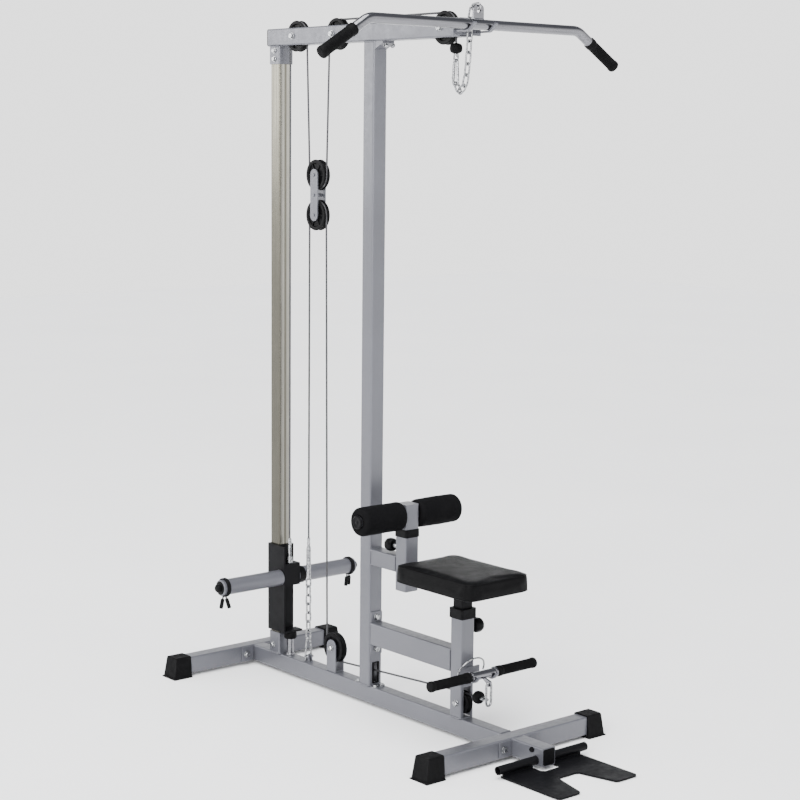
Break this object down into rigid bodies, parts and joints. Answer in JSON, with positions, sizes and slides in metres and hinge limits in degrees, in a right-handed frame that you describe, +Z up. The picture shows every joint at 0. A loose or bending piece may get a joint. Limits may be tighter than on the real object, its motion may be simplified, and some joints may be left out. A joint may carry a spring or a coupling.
{
  "type": "multi station home gym",
  "caption": "Plate-loaded lat pulldown and low row machine: slotted steel frame, guide post with weight carriage, pulleys and steel cables, seat, thigh rollers and foot plate.",
  "frame": {"origin": "centre of the footprint, on the floor", "axes": "+Z up, -Y towards the seat and foot plate, +Y towards the weight carriage, X from side to side"},
  "size_m": [1.1178, 1.638, 2.1204],
  "materials": {
    "frame_paint": "satin silver-grey powder coat",
    "black_metal": "satin black powder coat",
    "chrome": "polished chrome plate",
    "zinc": "bright zinc plate",
    "rubber": "matt moulded rubber",
    "nylon": "satin moulded nylon",
    "foam": "matt closed-cell foam",
    "vinyl": "satin grained vinyl",
    "cable": "black nylon coat over steel strand"
  },
  "bodies": {
    "frame": {"front_foot": "frame_paint", "front_foot_cap_left": "rubber", "front_foot_cap_right": "rubber", "rear_foot": "frame_paint", "rear_foot_cap_left": "rubber", "rear_foot_cap_right": "rubber", "base_beam": "frame_paint", "base_stub": "frame_paint", "upright": "frame_paint", "boom": "frame_paint", "lat_bar_hooks": "frame_paint", "guide_post": "chrome", "guide_top_socket": "frame_paint", "guide_bottom_socket": "frame_paint", "weight_bumper": "rubber", "low_pulley_bracket": "frame_paint", "seat_beam": "frame_paint", "seat_post": "frame_paint", "row_bar_hooks": "frame_paint", "seat_collar": "nylon", "thigh_bracket": "frame_paint", "thigh_collar": "nylon", "anchor_chain": "zinc", "high_cable_weight_side": "cable", "high_cable_loop": "cable", "high_cable_front_run": "cable", "low_cable_loop": "cable", "low_cable_floor_run": "cable"},
    "carriage": {"weight_carriage": "black_metal", "weight_horn_left": "frame_paint", "weight_horn_right": "frame_paint", "weight_cable_end": "zinc"},
    "left_clip": {"spring_clip_left": "black_metal"},
    "right_clip": {"spring_clip_right": "black_metal"},
    "lat_handle": {"high_cable_end": "zinc", "lat_chain": "zinc", "lat_bar": "chrome", "lat_grip_left": "foam", "lat_grip_right": "foam"},
    "top_rear_wheel": {"top_rear_pulley": "nylon"},
    "top_middle_wheel": {"top_middle_pulley": "nylon"},
    "top_front_wheel": {"top_front_pulley": "nylon"},
    "float_block": {"floating_pulley_bracket": "frame_paint"},
    "float_upper_wheel": {"floating_upper_pulley": "nylon"},
    "float_lower_wheel": {"floating_lower_pulley": "nylon"},
    "low_rear_wheel": {"low_rear_pulley": "nylon"},
    "low_front_wheel": {"low_front_pulley": "nylon"},
    "row_handle": {"row_cable_end": "zinc", "row_bar": "chrome", "row_grip_left": "foam", "row_grip_right": "foam"},
    "seat": {"seat_stem": "black_metal", "seat_pad": "vinyl"},
    "seat_lock": {"seat_pin": "nylon"},
    "thigh_hold": {"thigh_stem": "frame_paint"},
    "left_roller": {"thigh_roller_left": "foam"},
    "right_roller": {"thigh_roller_right": "foam"},
    "thigh_lock": {"thigh_pin": "nylon"},
    "foot_rest": {"foot_plate": "black_metal"}
  },
  "joints": [
    {"name": "weight_lift", "type": "slide", "parent": "frame", "child": "carriage", "axis": [0, 0, 1], "range_m": [0, 1.1], "deforming": ["high_cable_weight_side"]},
    {"name": "left_clip_slide", "type": "slide", "parent": "carriage", "child": "left_clip", "axis": [-1, 0, 0], "range_m": [0, 0.08]},
    {"name": "right_clip_slide", "type": "slide", "parent": "carriage", "child": "right_clip", "axis": [1, 0, 0], "range_m": [0, 0.08]},
    {"name": "lat_pull", "type": "slide", "parent": "frame", "child": "lat_handle", "axis": [0, 0, -1], "range_m": [0, 1.1]},
    {"name": "top_rear_spin", "type": "hinge", "parent": "frame", "child": "top_rear_wheel", "pos_m": [0, 0.545, 2.055], "axis": [1, 0, 0], "continuous": true},
    {"name": "top_middle_spin", "type": "hinge", "parent": "frame", "child": "top_middle_wheel", "pos_m": [0, 0.346, 2.055], "axis": [1, 0, 0], "continuous": true},
    {"name": "top_front_spin", "type": "hinge", "parent": "frame", "child": "top_front_wheel", "pos_m": [0, -0.147, 2.055], "axis": [1, 0, 0], "continuous": true},
    {"name": "row_pull", "type": "slide", "parent": "frame", "child": "row_handle", "axis": [0, -1, 0], "range_m": [0, 0.9]},
    {"name": "float_travel", "type": "slide", "parent": "frame", "child": "float_block", "axis": [0, 0, -1], "range_m": [0, 0.45], "deforming": ["high_cable_loop", "low_cable_loop"]},
    {"name": "float_upper_spin", "type": "hinge", "parent": "float_block", "child": "float_upper_wheel", "pos_m": [0, 0.4435, 1.63], "axis": [1, 0, 0], "continuous": true},
    {"name": "float_lower_spin", "type": "hinge", "parent": "float_block", "child": "float_lower_wheel", "pos_m": [0, 0.4435, 1.506], "axis": [1, 0, 0], "continuous": true},
    {"name": "low_rear_spin", "type": "hinge", "parent": "frame", "child": "low_rear_wheel", "pos_m": [0, 0.345, 0.142], "axis": [1, 0, 0], "continuous": true},
    {"name": "low_front_spin", "type": "hinge", "parent": "frame", "child": "low_front_wheel", "pos_m": [0, -0.259, 0.109], "axis": [1, 0, 0], "continuous": true},
    {"name": "seat_height", "type": "slide", "parent": "frame", "child": "seat", "axis": [0, 0, 1], "range_m": [-0.05, 0.1]},
    {"name": "seat_pin_pull", "type": "slide", "parent": "frame", "child": "seat_lock", "axis": [1, 0, 0], "range_m": [0, 0.012], "stiffness_N_per_m": 800, "springref_m": -0.01},
    {"name": "thigh_height", "type": "slide", "parent": "frame", "child": "thigh_hold", "axis": [0, 0, 1], "range_m": [0, 0.1]},
    {"name": "left_roller_spin", "type": "hinge", "parent": "thigh_hold", "child": "left_roller", "pos_m": [0, -0.001, 0.628], "axis": [1, 0, 0], "continuous": true},
    {"name": "right_roller_spin", "type": "hinge", "parent": "thigh_hold", "child": "right_roller", "pos_m": [0, -0.001, 0.628], "axis": [1, 0, 0], "continuous": true},
    {"name": "thigh_pin_pull", "type": "slide", "parent": "frame", "child": "thigh_lock", "axis": [0, 1, 0], "range_m": [0, 0.012], "stiffness_N_per_m": 800, "springref_m": -0.01},
    {"name": "foot_plate_tilt", "type": "hinge", "parent": "frame", "child": "foot_rest", "pos_m": [0, -0.596, 0.027], "axis": [-1, 0, 0], "range_deg": [0, 40]}
  ],
  "couplings": [
    {"joint": "lat_pull", "follows": "weight_lift", "ratio": 1},
    {"joint": "top_rear_spin", "follows": "weight_lift", "rad_per_m": 23.529},
    {"joint": "top_middle_spin", "follows": "weight_lift", "rad_per_m": 23.529},
    {"joint": "top_front_spin", "follows": "weight_lift", "rad_per_m": 23.529},
    {"joint": "float_upper_spin", "follows": "weight_lift", "rad_per_m": -23.529},
    {"joint": "float_travel", "follows": "row_pull", "ratio": 0.5},
    {"joint": "float_lower_spin", "follows": "row_pull", "rad_per_m": 11.765},
    {"joint": "low_rear_spin", "follows": "row_pull", "rad_per_m": -23.529},
    {"joint": "low_front_spin", "follows": "row_pull", "rad_per_m": 32.787}
  ]
}
